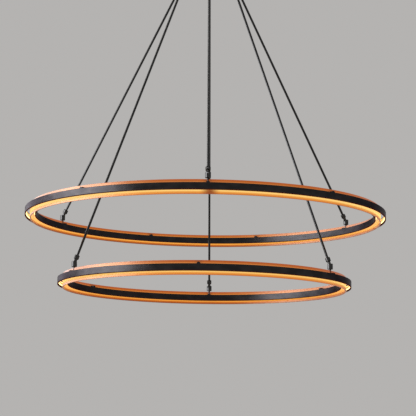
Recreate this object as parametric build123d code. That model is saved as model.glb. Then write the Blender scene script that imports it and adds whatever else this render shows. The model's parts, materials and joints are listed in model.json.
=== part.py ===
"""Two-tier ring chandelier: two lit hoops of copper and bronze, hung by six cables from a canopy.

Millimetres, +Z up. The origin is the middle of the ceiling face, and everything hangs below it.
The front is -Y.
"""

import os
from dataclasses import dataclass
from math import atan2, degrees, hypot

from build123d import *

# Tiers: outside diameters, how far each ring's middle hangs below the ceiling, and the small
# turn about the axis, in degrees, at which each ring hangs
upper_diameter = 1000.0
lower_diameter = 810.0
upper_drop = 835.0
tier_gap = 188.0
upper_turn = 0.6
lower_turn = -2.2

# Ring section, from the outside in: band, gap, fin, gap, band
band_height = 18.6
band_thickness = 3.0
band_edge = 0.6
gap_width = 11.0
fin_thickness = 3.0
fin_above_band = 9.7
fin_below_band = 8.6
fin_edge = 0.4

# Light strips on the bands' hidden faces
strip_height = 10.0
strip_board = 1.2
strip_depth = 3.0

# Spacers and hanger blocks between the fin and the bands, above the strips
upper_spacer_count = 9
lower_spacer_count = 6
spacer_width = 9.0
spacer_above_band = 4.5
hanger_width = 9.0
hanger_above_band = 3.0
rivet_radius = 1.25
stud_pin_radius = 1.0
stud_pin_below_top = 4.2

# Hangers: three to a ring
hanger_count = 3
stud_radius = 2.5
stud_depth_in_block = 6.0
barrel_above_fin = 3.0
barrel_radius = 7.1
barrel_length = 15.0
barrel_edge = 1.0
ball_radius = 5.4
ball_below_mouth = 5.6
neck_radius = 4.0

# Cables and their ferrules
cable_diameter = 6.6
ferrule_radius = 6.5
ferrule_length = 11.0
ferrule_edge = 1.4
ferrule_from_ball = 12.5
cable_in_ferrule = 6.5

# Canopy and ceiling bracket
canopy_diameter = 200.0
canopy_height = 50.0
canopy_wall = 1.6
canopy_floor = 2.0
canopy_rounding = 5.0
cable_circle_radius = 38.0
socket_rod_above_floor = 8.0
socket_nut_radius = 5.0
socket_nut_height = 4.0
bracket_length = 158.0
bracket_width = 32.0
bracket_thickness = 3.0
bracket_slot_spacing = 89.0
bracket_slot_length = 16.0
bracket_slot_radius = 2.75
bracket_wire_hole_radius = 9.0
canopy_stud_spacing = 132.0
canopy_stud_radius = 2.5
stud_nut_radius = 4.6
stud_nut_height = 4.0
cap_nut_radius = 7.0
cap_nut_height = 9.0
cap_nut_bore_depth = 6.0

# Driver, terminal block and earth screw inside the canopy
driver_length = 90.0
driver_width = 32.0
driver_height = 24.0
driver_ear_length = 7.0
driver_ear_height = 3.0
driver_offset = 66.0
terminal_length = 42.0
terminal_width = 20.0
terminal_height = 17.0
terminal_offset = 66.0
terminal_way_radius = 2.4
terminal_way_depth = 5.0
terminal_ways = 3
small_screw_radius = 1.5
small_screw_head_radius = 2.8
small_screw_head_height = 1.8
lead_radius = 1.3
lead_bend_radius = 4.0
lead_rise = 8.0

# Clearances
seat_clearance = 0.1
ball_clearance = 0.5
neck_clearance = 0.6
rivet_clearance = 0.05
stud_clearance = 0.15
hole_overrun = 1.0

FROM_BASE = (Align.CENTER, Align.CENTER, Align.MIN)
FROM_TOP = (Align.CENTER, Align.CENTER, Align.MAX)
HEX_SIDES = 6

fin_top = band_height / 2 + fin_above_band
fin_bottom = -band_height / 2 - fin_below_band
spacer_top = band_height / 2 + spacer_above_band
spacer_bottom = strip_height / 2 + 2 * seat_clearance
hanger_top = band_height / 2 + hanger_above_band
rivet_height = (spacer_bottom + band_height / 2) / 2
stud_pin_height = hanger_top - stud_pin_below_top
ball_height = barrel_length - ball_below_mouth
plug_height = ball_height - ball_radius - ball_clearance
cavity_radius = ball_radius + ball_clearance
ring_ball_height = fin_top + barrel_above_fin + ball_height
canopy_ball_drop = canopy_height + ball_height


@dataclass
class Tier:
    """One ring: its name, size, place, spacers, and the azimuth and name of each hanger."""

    name: str
    radius: float
    drop: float
    spacer_count: int
    hangers: dict

    @property
    def fin_radius(self):
        return self.radius - band_thickness - gap_width - fin_thickness / 2

    @property
    def hanger_azimuths(self):
        return list(self.hangers.values())

    @property
    def spacer_azimuths(self):
        start = self.hanger_azimuths[0]
        step = 360 / self.spacer_count
        places = [(start + step * k) % 360 for k in range(self.spacer_count)]
        taken = [azimuth % 360 for azimuth in self.hanger_azimuths]
        return [a for a in places if all(abs(a - t) > step / 2 for t in taken)]


def thirds(first, names):
    """Azimuths a third of a turn apart, by hanger name."""
    return {name: first + k * 360 / hanger_count for k, name in enumerate(names)}


upper = Tier(
    "upper",
    upper_diameter / 2,
    upper_drop,
    upper_spacer_count,
    thirds(-90 + upper_turn, ["front", "right", "left"]),
)
lower = Tier(
    "lower",
    lower_diameter / 2,
    upper_drop + tier_gap,
    lower_spacer_count,
    thirds(90 + lower_turn, ["rear", "left", "right"]),
)


def hoop(inner, outer, low, high, edge=0.0):
    """A ring of rectangular section with its four edges eased."""
    section = Rectangle(outer - inner, high - low)
    if edge:
        section = chamfer(section.vertices(), edge)
    placed = Plane.XZ * Pos((inner + outer) / 2, (low + high) / 2) * section
    return revolve(placed, Axis.Z, 360)


def radial_pin(azimuth, radius, inner, outer, height):
    """A pin that points at the ring's axis."""
    place = Rot(0, 0, azimuth) * Pos(inner, 0, height) * Rot(0, 90, 0)
    return place * Cylinder(radius, outer - inner, align=FROM_BASE)


def block(azimuth, inner, outer, width, low, high, domed=False):
    """A block between two hoops, with faces curved to sit on them and a flat or half-round top."""
    reach = 2 * (outer - inner)
    shoulder = high - width / 2 if domed else high
    shape = Pos(0, 0, low) * Box(reach, width, shoulder - low, align=FROM_BASE)
    if domed:
        shape += Pos(0, 0, shoulder) * Rot(0, 90, 0) * Cylinder(width / 2, reach)
    place = Rot(0, 0, azimuth) * Pos((inner + outer) / 2, 0, 0)
    return hoop(inner, outer, low, high) & (place * shape)


def side_gaps(tier):
    """Inner and outer radius of the gaps outside and inside the fin, less the seat clearance."""
    half = fin_thickness / 2
    outside = (tier.fin_radius + half + seat_clearance, tier.radius - band_thickness - seat_clearance)
    inside = (
        tier.fin_radius - half - gap_width + seat_clearance,
        tier.fin_radius - half - seat_clearance,
    )
    return outside, inside


def light_strip(face_radius, outward):
    """A board on a band's face at face_radius, with a domed diffuser towards the fin."""
    half = strip_height / 2
    crown = strip_depth - strip_board
    sign = 1 if outward else -1
    with BuildSketch(Plane.XZ) as section:
        with BuildLine():
            start = face_radius + sign * seat_clearance
            board = start + sign * strip_board
            tip = board + sign * crown
            Polyline((board, -half), (start, -half), (start, half), (board, half))
            ThreePointArc((board, half), (tip, 0), (board, -half))
        make_face()
    return revolve(section.sketch, Axis.Z, 360)


def pins_and_holes(azimuths, height, radius, inner, outer):
    """Pins at those azimuths, and the slightly wider holes that they need."""
    reach = (inner - hole_overrun, outer + hole_overrun)
    pins = [radial_pin(azimuth, radius, inner, outer, height) for azimuth in azimuths]
    holes = [radial_pin(azimuth, radius + rivet_clearance, *reach, height) for azimuth in azimuths]
    return pins, holes


def stud_rooms(tier):
    """The room that each hanger stud needs in the fin and in the hanger blocks."""
    low = hanger_top - stud_depth_in_block - stud_clearance
    room = Cylinder(stud_radius + stud_clearance, fin_top - low + hole_overrun, align=FROM_BASE)
    return [Rot(0, 0, azimuth) * Pos(tier.fin_radius, 0, low) * room for azimuth in tier.hanger_azimuths]


def ring_pieces(tier):
    """Every piece of one ring, at the ring's own middle height."""
    half = fin_thickness / 2
    band_half = band_height / 2
    inner_band_outside = tier.fin_radius - half - gap_width
    outside, inside = side_gaps(tier)
    reach = (inside[0], outside[1])
    rivets, rivet_holes = pins_and_holes(tier.spacer_azimuths, rivet_height, rivet_radius, *reach)
    stud_pins, stud_pin_holes = pins_and_holes(
        tier.hanger_azimuths, stud_pin_height, stud_pin_radius, *reach
    )
    rooms = rivet_holes + stud_pin_holes + stud_rooms(tier)

    spacers = []
    hanger_blocks = []
    for inner, outer in (outside, inside):
        for azimuth in tier.spacer_azimuths:
            spacers.append(
                block(azimuth, inner, outer, spacer_width, spacer_bottom, spacer_top, domed=True)
            )
        for azimuth in tier.hanger_azimuths:
            hanger_blocks.append(block(azimuth, inner, outer, hanger_width, spacer_bottom, hanger_top))

    fin = hoop(tier.fin_radius - half, tier.fin_radius + half, fin_bottom, fin_top, fin_edge)
    return {
        "fin": cut(fin, rooms),
        "outer_band": hoop(tier.radius - band_thickness, tier.radius, -band_half, band_half, band_edge),
        "inner_band": hoop(
            inner_band_outside - band_thickness, inner_band_outside, -band_half, band_half, band_edge
        ),
        "outer_light_strip": light_strip(tier.radius - band_thickness, outward=False),
        "inner_light_strip": light_strip(inner_band_outside, outward=True),
        "spacers": Compound([cut(piece, rooms) for piece in spacers]),
        "hanger_blocks": Compound([cut(piece, rooms) for piece in hanger_blocks]),
        "rivets": Compound(rivets),
        "stud_pins": Compound(stud_pins),
    }


def cut(piece, tools):
    """A piece less those tools that reach it, as one solid."""
    box = piece.bounding_box()
    near = [tool for tool in tools if box.overlaps(tool.bounding_box())]
    left = piece - near if near else piece
    return left.solids()[0]


def socket_barrel():
    """A barrel with its base at z = 0, a ball seat, and a slot for the neck that opens towards +X."""
    body = Cylinder(barrel_radius, barrel_length, align=FROM_BASE)
    body = fillet(body.edges().filter_by(GeomType.CIRCLE), barrel_edge)
    seat = Cylinder(cavity_radius, ball_height, align=FROM_BASE)
    seat += Pos(0, 0, ball_height) * Sphere(cavity_radius)
    width = neck_radius + neck_clearance
    slot = Pos(0, 0, ball_height) * Cylinder(width, barrel_length, align=FROM_BASE)
    slot += Pos(0, 0, ball_height) * Box(
        2 * barrel_radius, 2 * width, barrel_length, align=(Align.MIN, Align.CENTER, Align.MIN)
    )
    return body - seat - slot


def socket_stud(rod_length):
    """The plug that closes a barrel's base, with a rod that runs out of it towards -Z."""
    plug = Cylinder(cavity_radius - seat_clearance, plug_height, align=FROM_BASE)
    return plug + Cylinder(stud_radius, rod_length, align=FROM_TOP)


def ferrule():
    """A ball at the origin, its neck, and the sleeve that holds the cable, along +Z."""
    sleeve = Cylinder(ferrule_radius, ferrule_length, align=FROM_BASE)
    sleeve = fillet(sleeve.edges().filter_by(GeomType.CIRCLE), ferrule_edge)
    sleeve = Pos(0, 0, ferrule_from_ball) * sleeve
    neck = Cylinder(neck_radius, ferrule_from_ball + ferrule_edge, align=FROM_BASE)
    end = ferrule_from_ball + ferrule_length
    bore = Cylinder(cable_diameter / 2 + seat_clearance, cable_in_ferrule, align=FROM_TOP)
    return Sphere(ball_radius) + neck + sleeve - Pos(0, 0, end) * bore


def cable_line(tier):
    """The ball centres at the canopy and the ring, as radius and height, and the lean from vertical."""
    top = (cable_circle_radius, -canopy_ball_drop)
    end = (tier.fin_radius, -tier.drop + ring_ball_height)
    lean = degrees(atan2(end[0] - top[0], top[1] - end[1]))
    length = hypot(end[0] - top[0], top[1] - end[1])
    return top, end, lean, length


def cable_pieces(tier, azimuth):
    """A cable with its two ferrules, between the canopy's ball seat and the ring's."""
    top, end, lean, length = cable_line(tier)
    turn = Rot(0, 0, azimuth)
    up_the_cable = turn * Pos(end[0], 0, end[1]) * Rot(0, -lean, 0)
    down_the_cable = turn * Pos(top[0], 0, top[1]) * Rot(0, 180 - lean, 0)
    buried = ferrule_from_ball + ferrule_length - cable_in_ferrule + seat_clearance
    cable = Pos(0, 0, buried) * Cylinder(cable_diameter / 2, length - 2 * buried, align=FROM_BASE)
    return {
        "": up_the_cable * cable,
        "_ring_ferrule": up_the_cable * ferrule(),
        "_canopy_ferrule": down_the_cable * ferrule(),
    }


def ring_hangers(tier):
    """The barrels and studs that stand on one ring."""
    barrel_base = fin_top + barrel_above_fin
    rod_length = barrel_base - hanger_top + stud_depth_in_block
    barrels = {}
    studs = []
    for name, azimuth in tier.hangers.items():
        place = Pos(0, 0, -tier.drop) * Rot(0, 0, azimuth) * Pos(tier.fin_radius, 0, barrel_base)
        barrels[name] = place * Rot(0, 0, 180) * socket_barrel()
        pin_hole = Pos(0, 0, stud_pin_height - barrel_base) * Rot(0, 90, 0)
        pin_hole = pin_hole * Cylinder(stud_pin_radius + rivet_clearance, 4 * stud_radius)
        studs.append(place * (socket_stud(rod_length) - pin_hole))
    return barrels, Compound(studs)


def canopy_shell():
    """A dish that is open towards the ceiling, with holes for the studs."""
    radius = canopy_diameter / 2
    outside = Cylinder(radius, canopy_height, align=FROM_TOP)
    outside = fillet(outside.edges().filter_by(GeomType.CIRCLE).sort_by(Axis.Z)[0], canopy_rounding)
    hollow = Cylinder(radius - canopy_wall, canopy_height - canopy_floor, align=FROM_TOP)
    hollow = fillet(
        hollow.edges().filter_by(GeomType.CIRCLE).sort_by(Axis.Z)[0], canopy_rounding - canopy_wall
    )
    shell = outside - hollow
    for azimuth in upper.hanger_azimuths + lower.hanger_azimuths:
        hole = Cylinder(stud_radius + stud_clearance, 3 * canopy_height)
        shell -= Rot(0, 0, azimuth) * Pos(cable_circle_radius, 0, 0) * hole
    for side in (-1, 1):
        hole = Cylinder(canopy_stud_radius + stud_clearance, 3 * canopy_height)
        shell -= Pos(side * canopy_stud_spacing / 2, 0, 0) * hole
    for place in driver_screw_places() + terminal_screw_places():
        shell -= place * Cylinder(small_screw_radius + rivet_clearance, 3 * canopy_height)
    return shell


def driver_screw_places():
    """Where the driver's ears are screwed to the canopy's floor."""
    reach = driver_length / 2 - driver_ear_length / 2
    return [Pos(side * reach, driver_offset, 0) for side in (-1, 1)]


def terminal_screw_places():
    """Where the terminal block is screwed to the canopy's floor."""
    return [Pos(0, -terminal_offset, 0)]


def floor_screw(place, grip):
    """A screw through the canopy's floor, headed on top of what it holds."""
    floor = -canopy_height + canopy_floor
    shank = Cylinder(small_screw_radius, grip + canopy_floor, align=FROM_TOP)
    head = Cylinder(small_screw_head_radius, small_screw_head_height, align=FROM_BASE)
    return place * Pos(0, 0, floor + grip) * (shank + head)


def hex_nut(radius, height, bore):
    """A hexagon nut on z = 0, with its bore."""
    body = extrude(RegularPolygon(radius, HEX_SIDES), height)
    return body - Cylinder(bore, 3 * height)


def ceiling_bracket():
    """A slotted strap that lies flat on the ceiling."""
    strap = SlotOverall(bracket_length, bracket_width)
    strap -= Circle(bracket_wire_hole_radius)
    strap -= Pos(0, bracket_width / 2 - 2 * small_screw_head_radius) * Circle(
        small_screw_radius + rivet_clearance
    )
    for side in (-1, 1):
        strap -= Pos(side * bracket_slot_spacing / 2, 0) * SlotOverall(
            bracket_slot_length, 2 * bracket_slot_radius
        )
        strap -= Pos(side * canopy_stud_spacing / 2, 0) * Circle(canopy_stud_radius + stud_clearance)
    return extrude(Pos(0, 0, -bracket_thickness) * strap, bracket_thickness)


def canopy_fixings():
    """The studs between bracket and canopy, their lock nuts and the cap nuts below."""
    studs = []
    nuts = []
    caps = []
    stud_end = canopy_height + cap_nut_bore_depth - seat_clearance
    for side in (-1, 1):
        place = Pos(side * canopy_stud_spacing / 2, 0, 0)
        studs.append(place * Cylinder(canopy_stud_radius, stud_end, align=FROM_TOP))
        under = Pos(0, 0, -bracket_thickness - stud_nut_height)
        nut = hex_nut(stud_nut_radius, stud_nut_height, canopy_stud_radius + stud_clearance)
        nuts.append(place * under * nut)
        cap = Cylinder(cap_nut_radius, cap_nut_height, align=FROM_TOP)
        cap = fillet(cap.edges().filter_by(GeomType.CIRCLE).sort_by(Axis.Z)[0], cap_nut_radius / 2)
        cap -= Cylinder(canopy_stud_radius + stud_clearance, cap_nut_bore_depth, align=FROM_TOP)
        caps.append(place * Pos(0, 0, -canopy_height) * cap)
    return Compound(studs), Compound(nuts), Compound(caps)


def canopy_sockets():
    """The six ball sockets under the canopy, with their studs and nuts."""
    barrels = []
    studs = []
    nuts = []
    for tier in (upper, lower):
        for azimuth in tier.hanger_azimuths:
            spot = Rot(0, 0, azimuth) * Pos(cable_circle_radius, 0, -canopy_height)
            hang = spot * Rot(180, 0, 0)
            barrels.append(hang * socket_barrel())
            studs.append(hang * socket_stud(canopy_floor + socket_rod_above_floor))
            nut = hex_nut(socket_nut_radius, socket_nut_height, stud_radius + stud_clearance)
            nuts.append(spot * Pos(0, 0, canopy_floor) * nut)
    return Compound(barrels), Compound(studs), Compound(nuts)


def led_driver():
    """A driver case with an ear at each end, on the canopy's floor."""
    floor = -canopy_height + canopy_floor
    case = Box(driver_length - 2 * driver_ear_length, driver_width, driver_height, align=FROM_BASE)
    case = fillet(case.edges().filter_by(Axis.Z), driver_ear_height)
    case += Box(driver_length, driver_width - driver_ear_length, driver_ear_height, align=FROM_BASE)
    case = Pos(0, driver_offset, floor) * case
    for place in driver_screw_places():
        case -= place * Cylinder(small_screw_radius + rivet_clearance, 3 * canopy_height)
    return case


def terminal_block():
    """A mains terminal block with a row of ways and a screw hole in its middle."""
    floor = -canopy_height + canopy_floor
    body = Box(terminal_length, terminal_width, terminal_height, align=FROM_BASE)
    step = terminal_length / terminal_ways
    for k in range(terminal_ways):
        way = Pos((k - (terminal_ways - 1) / 2) * step, terminal_width / 2, terminal_height / 2)
        body -= way * Rot(90, 0, 0) * Cylinder(terminal_way_radius, terminal_way_depth, align=FROM_BASE)
    body = Pos(0, -terminal_offset, floor) * body
    for place in terminal_screw_places():
        body -= place * Cylinder(small_screw_radius + rivet_clearance, 3 * canopy_height)
    return body


def earth_screw():
    """The earth screw under the bracket."""
    place = Pos(0, bracket_width / 2 - 2 * small_screw_head_radius, -bracket_thickness)
    shank = Cylinder(small_screw_radius, bracket_thickness, align=FROM_BASE)
    head = Cylinder(small_screw_head_radius, small_screw_head_height, align=FROM_TOP)
    return place * (shank + head)


def lead(points):
    """A round wire along straight runs with rounded corners."""
    path = FilletPolyline(*points, radius=lead_bend_radius)
    section = Plane(origin=path @ 0, z_dir=path % 0) * Circle(lead_radius)
    return sweep(section, path)


def canopy_leads():
    """The leads from terminal block to driver, and from the driver to one socket of each tier."""
    floor = -canopy_height + canopy_floor
    way_height = floor + terminal_height / 2
    way_end = -terminal_offset + terminal_width / 2 - terminal_way_depth + seat_clearance
    step = terminal_length / terminal_ways
    run_height = floor + driver_height / 2
    driver_face = driver_offset - driver_width / 2 - seat_clearance
    wires = []
    for across in (-step, step):
        wires.append(
            lead(
                [
                    (across, way_end, way_height),
                    (across, -cable_circle_radius / 2, way_height),
                    (across, cable_circle_radius / 2, run_height),
                    (across, driver_face, run_height),
                ]
            )
        )
    for azimuth in (upper.hangers["right"], lower.hangers["rear"]):
        foot = Vector(cable_circle_radius, 0, floor + socket_rod_above_floor + seat_clearance)
        foot = foot.rotate(Axis.Z, azimuth)
        bend = foot + Vector(0, 0, lead_rise)
        wires.append(lead([foot, bend, (bend.X, driver_face, bend.Z)]))
    return Compound(wires)


pieces = {}
for tier in (upper, lower):
    for name, shape in ring_pieces(tier).items():
        pieces[f"{tier.name}_{name}"] = Pos(0, 0, -tier.drop) * shape
    tier_barrels, tier_studs = ring_hangers(tier)
    pieces[f"{tier.name}_hanger_studs"] = tier_studs
    for name, shape in tier_barrels.items():
        pieces[f"{tier.name}_{name}_barrel"] = shape
    for name, azimuth in tier.hangers.items():
        for suffix, shape in cable_pieces(tier, azimuth).items():
            pieces[f"{tier.name}_{name}_cable{suffix}"] = shape

pieces["canopy"] = canopy_shell()
pieces["ceiling_bracket"] = ceiling_bracket()
pieces["canopy_studs"], pieces["stud_nuts"], pieces["cap_nuts"] = canopy_fixings()
pieces["canopy_sockets"], pieces["socket_studs"], pieces["socket_nuts"] = canopy_sockets()
pieces["led_driver"] = led_driver()
pieces["driver_screws"] = Compound([floor_screw(p, driver_ear_height) for p in driver_screw_places()])
pieces["terminal_block"] = terminal_block()
pieces["terminal_screw"] = floor_screw(terminal_screw_places()[0], terminal_height)
pieces["earth_screw"] = earth_screw()
pieces["canopy_leads"] = canopy_leads()

os.makedirs("parts", exist_ok=True)
for name, shape in pieces.items():
    export_step(shape, f"parts/{name}.step")
print(len(pieces), "pieces")
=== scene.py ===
"""Dresses a two-tier ring chandelier: hoops of copper and bronze, lit from inside, on black cables.

Metres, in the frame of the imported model: +Z up, the front is -Y and the origin lies on the ceiling.
"""

import json
import logging
import math
import operator
from dataclasses import astuple, dataclass
from enum import Enum

import bmesh
import bpy
from mathutils import Matrix, Vector


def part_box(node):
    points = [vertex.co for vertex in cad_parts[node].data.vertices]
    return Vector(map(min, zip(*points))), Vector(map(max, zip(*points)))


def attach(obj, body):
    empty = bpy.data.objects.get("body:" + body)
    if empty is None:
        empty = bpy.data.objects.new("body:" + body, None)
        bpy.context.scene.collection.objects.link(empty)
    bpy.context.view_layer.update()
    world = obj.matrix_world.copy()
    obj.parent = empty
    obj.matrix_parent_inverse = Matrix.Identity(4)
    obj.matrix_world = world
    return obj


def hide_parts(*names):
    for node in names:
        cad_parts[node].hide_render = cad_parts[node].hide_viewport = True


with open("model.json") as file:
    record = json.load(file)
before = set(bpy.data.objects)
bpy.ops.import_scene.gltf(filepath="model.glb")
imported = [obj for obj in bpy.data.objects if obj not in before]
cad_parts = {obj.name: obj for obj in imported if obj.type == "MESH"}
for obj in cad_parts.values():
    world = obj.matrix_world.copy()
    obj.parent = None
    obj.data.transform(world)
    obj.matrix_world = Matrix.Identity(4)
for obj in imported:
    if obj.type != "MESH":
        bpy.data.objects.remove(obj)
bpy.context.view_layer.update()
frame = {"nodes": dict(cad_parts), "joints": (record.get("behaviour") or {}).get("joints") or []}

LOG = logging.getLogger("chandelier")
MM = 0.001
SEAM_REACH = 0.01 * MM

# Places of the colour sockets on a Mix node, where several sockets share a name.
MIX_FIRST, MIX_SECOND, MIX_RESULT = 6, 7, 2

FULL = (0.0, 1.0)

# The part of that span which a noise really covers, and the one that a sum of two noises covers.
CLOUD_SPAN = (0.35, 0.7)
GRAIN_SPAN = (0.25, 0.8)
FROST_SPAN = (0.3, 0.7)
SUM_SPAN = (0.6, 1.4)

Socket = bpy.types.NodeSocket
Material = bpy.types.Material
Thing = bpy.types.Object
Value = float | Socket
Span = tuple[float, float]
Triple = tuple[float, float, float]
Colour = Triple
Places = list[tuple[Vector, Vector]]
Sockets = dict[str | int, Value | Colour]


class Slot(Enum):
    """Material slots of the record, kept on each hoop as a label."""

    FIN = "copper_fin"
    BAND = "bronze_band"
    HARDWARE = "black_hardware"
    SLEEVE = "cable_sleeve"


class Grain(Enum):
    """Fine marks of a surface, as features to the metre along x, y and z."""

    ROUND_THE_HOOP = (18.0, 18.0, 1400.0)
    TURNED = (160.0, 160.0, 2600.0)
    CAST = (420.0, 420.0, 420.0)
    SPUN = (1500.0, 6.0, 1500.0)


class Mapping(Enum):
    """Where a pattern's coordinates come from."""

    OBJECT = "Object"
    OWN_UV = "UV"


class Side(Enum):
    """The two sides of a fin."""

    OUTER = "outer"
    INNER = "inner"


class End(Enum):
    """The two ends of a cable."""

    RING = "ring"
    CANOPY = "canopy"


class Facing(Enum):
    """Which way a set screw faces from its barrel."""

    AWAY_FROM_AXIS = 1
    TOWARDS_AXIS = -1


class NodeTree:
    """A node tree under construction: adds nodes and wires their sockets."""

    prefix = ""

    def __init__(self, tree: bpy.types.NodeTree) -> None:
        """Takes a tree to fill."""
        self.nodes = tree.nodes
        self.links = tree.links

    def put(self, value: Value | Colour, socket: Socket) -> None:
        """Links a socket to another, or sets it where the value is a constant.

        Args:
            value: A socket, a constant or a colour.
            socket: The input that takes it.
        """
        if isinstance(value, Socket):
            self.links.new(value, socket)
        elif isinstance(value, tuple) and socket.type == "RGBA":
            socket.default_value = (*value, 1.0)
        else:
            socket.default_value = value

    def add(self, kind: str, values: Sockets, **settings: str) -> bpy.types.Node:
        """Adds a node.

        Args:
            kind: The node's type, without the prefix of such trees.
            values: What its inputs take, by name or place.
            settings: Properties of the node.

        Returns:
            The node.
        """
        node = self.nodes.new(self.prefix + kind)
        for name, value in settings.items():
            setattr(node, name, value)
        for key, value in values.items():
            self.put(value, node.inputs[key])
        return node


class ShaderTree(NodeTree):
    """A material under construction."""

    prefix = "ShaderNode"

    def __init__(self, name: str) -> None:
        """Starts an empty material.

        Args:
            name: The material's name.
        """
        self.material = bpy.data.materials.new(name)
        self.material.use_nodes = True
        super().__init__(self.material.node_tree)
        self.nodes.clear()
        self.output = self.add("OutputMaterial", {})

    def place(self, source: Mapping = Mapping.OBJECT) -> tuple[Socket, Socket, Socket]:
        """The x, y and z of the shaded point, of which a UV map leaves z at 0."""
        coordinates = self.add("TexCoord", {}).outputs[source.value]
        return tuple(self.add("SeparateXYZ", {0: coordinates}).outputs)

    def maths(self, operation: str, *values: Value) -> Socket:
        """One step of arithmetic: a Math node's operation on one to three values."""
        return self.add("Math", dict(enumerate(values)), operation=operation).outputs[0]

    def vector(self, *parts: Value) -> Socket:
        """A vector of three sockets or numbers."""
        return self.add("CombineXYZ", dict(enumerate(parts))).outputs[0]

    def reach(self) -> Socket:
        """Distance of the shaded point from the upright axis."""
        squares = [self.maths("POWER", axis, 2.0) for axis in self.place()[:2]]
        return self.maths("SQRT", self.maths("ADD", *squares))

    def turn(self) -> Socket:
        """Angle of the shaded point round the upright axis."""
        x, y, _ = self.place()
        return self.maths("ARCTAN2", y, x)

    def remap(self, value: Value, low: float, high: float, at_low: float, at_high: float) -> Socket:
        """Eases from one number to another while a value crosses the span from low to high."""
        numbers = dict(enumerate((value, low, high, at_low, at_high)))
        return self.add("MapRange", numbers, interpolation_type="SMOOTHSTEP").outputs[0]

    def noise(self, stretch: Triple, detail: float = 3.0, at: tuple[Value, ...] = ()) -> Socket:
        """Noise on the object's coordinates, or on other ones.

        Args:
            stretch: Features to the metre along each axis.
            detail: Octaves of the noise.
            at: Three coordinates to read in place of the object's.

        Returns:
            A socket from 0 to 1.
        """
        axes = zip(at or self.place(), stretch)
        scaled = [self.maths("MULTIPLY", axis, size) for axis, size in axes]
        sockets = {"Scale": 1.0, "Detail": detail, "Vector": self.vector(*scaled)}
        return self.add("TexNoise", sockets).outputs[0]

    def cells(self, size: float) -> Socket:
        """Distance from the middle of the nearest of some cells, by cells to the metre."""
        sockets = {"Scale": size, "Vector": self.vector(*self.place())}
        return self.add("TexVoronoi", sockets).outputs["Distance"]

    def grain(self, marks: Grain) -> Socket:
        """Fine marks from 0 to 1, round the upright axis where they are spun."""
        if marks is Grain.SPUN:
            return self.noise(marks.value, at=(self.reach(), self.turn(), self.place()[2]))
        return self.noise(marks.value)

    def ramp(self, value: Value, stops: list[tuple[float, Colour]]) -> Socket:
        """Colours along a value.

        Args:
            value: What is read, from 0 to 1.
            stops: Places and colours, in order.

        Returns:
            The colour's socket.
        """
        node = self.add("ValToRGB", {0: value})
        elements = node.color_ramp.elements
        while len(elements) < len(stops):
            elements.new(1.0)
        for element, (place, colour) in zip(elements, stops):
            element.position = place
            element.color = (*colour, 1.0)
        return node.outputs[0]

    def mix(self, share: Value, first: Value | Colour, second: Value | Colour) -> Socket:
        """A colour between two others, with a share of the second from 0 to 1."""
        sockets = {0: share, MIX_FIRST: first, MIX_SECOND: second}
        return self.add("Mix", sockets, data_type="RGBA").outputs[MIX_RESULT]

    def bump(self, height: Value, depth: float) -> Socket:
        """The normal of a relief, from its height of 0 to 1 and its real depth."""
        return self.add("Bump", {"Distance": depth, "Height": height}).outputs[0]

    def surface(self, **sockets: Value | Colour) -> Material:
        """Ends the material in a Principled shader.

        Args:
            sockets: Values by socket name, with an underscore for a space.

        Returns:
            The finished material.
        """
        values = {name.replace("_", " "): value for name, value in sockets.items()}
        shader = self.add("BsdfPrincipled", values)
        self.links.new(shader.outputs[0], self.output.inputs[0])
        return self.material


class GeometryTree(NodeTree):
    """A Geometry Nodes tree under construction, with named inputs."""

    prefix = "GeometryNode"

    def __init__(self, name: str) -> None:
        """Starts an empty tree with a geometry input and output.

        Args:
            name: The tree's name.
        """
        self.group = bpy.data.node_groups.new(name, "GeometryNodeTree")
        super().__init__(self.group)
        sockets = self.group.interface
        for way in ("INPUT", "OUTPUT"):
            sockets.new_socket("Geometry", in_out=way, socket_type="NodeSocketGeometry")
        self.inputs = self.nodes.new("NodeGroupInput")
        self.output = self.nodes.new("NodeGroupOutput")
        self.identifiers: dict[str, str] = {}

    def ask(self, **kinds: str) -> list[Socket]:
        """Adds named inputs.

        Args:
            kinds: Socket types by input name, such as Float, Int, Object or Material.

        Returns:
            The sockets to link from, in the same order.
        """
        sockets = self.group.interface
        for name, kind in kinds.items():
            item = sockets.new_socket(name, in_out="INPUT", socket_type=f"NodeSocket{kind}")
            self.identifiers[name] = item.identifier
        return [self.inputs.outputs[name] for name in kinds]

    def store(self, geometry: Socket, name: str, value: Socket, **settings: str) -> Socket:
        """Keeps a value on a geometry as a named attribute, and gives the geometry back."""
        sockets = {"Geometry": geometry, "Name": name, "Value": value}
        return self.add("StoreNamedAttribute", sockets, **settings).outputs[0]

    def read(self, name: str, kind: str) -> Socket:
        """A named attribute, by its data type."""
        return self.add("InputNamedAttribute", {"Name": name}, data_type=kind).outputs[0]

    def finish(self, geometry: Socket, material: Socket) -> None:
        """Ends the tree in Realize Instances and Set Material.

        Args:
            geometry: What the tree made.
            material: Its finish.
        """
        real = self.add("RealizeInstances", {"Geometry": geometry})
        dressed = self.add("SetMaterial", {"Geometry": real.outputs[0], "Material": material})
        self.links.new(dressed.outputs[0], self.output.inputs[0])

    def bake(self, carrier: Thing, name: str, **values: object) -> Thing:
        """Runs the tree on a carrier and keeps the result as a plain mesh.

        Args:
            carrier: The object that the modifier stands on, removed afterwards.
            name: The new piece's name.
            values: The tree's inputs by name.

        Returns:
            The new piece, at the origin.
        """
        modifier = carrier.modifiers.new(self.group.name, "NODES")
        modifier.node_group = self.group
        for key, value in values.items():
            modifier[self.identifiers[key]] = value
        evaluated = carrier.evaluated_get(bpy.context.evaluated_depsgraph_get())
        mesh = bpy.data.meshes.new_from_object(evaluated)
        carrier.modifiers.remove(modifier)
        bpy.data.objects.remove(carrier)
        return piece_of(mesh, name)


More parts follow.
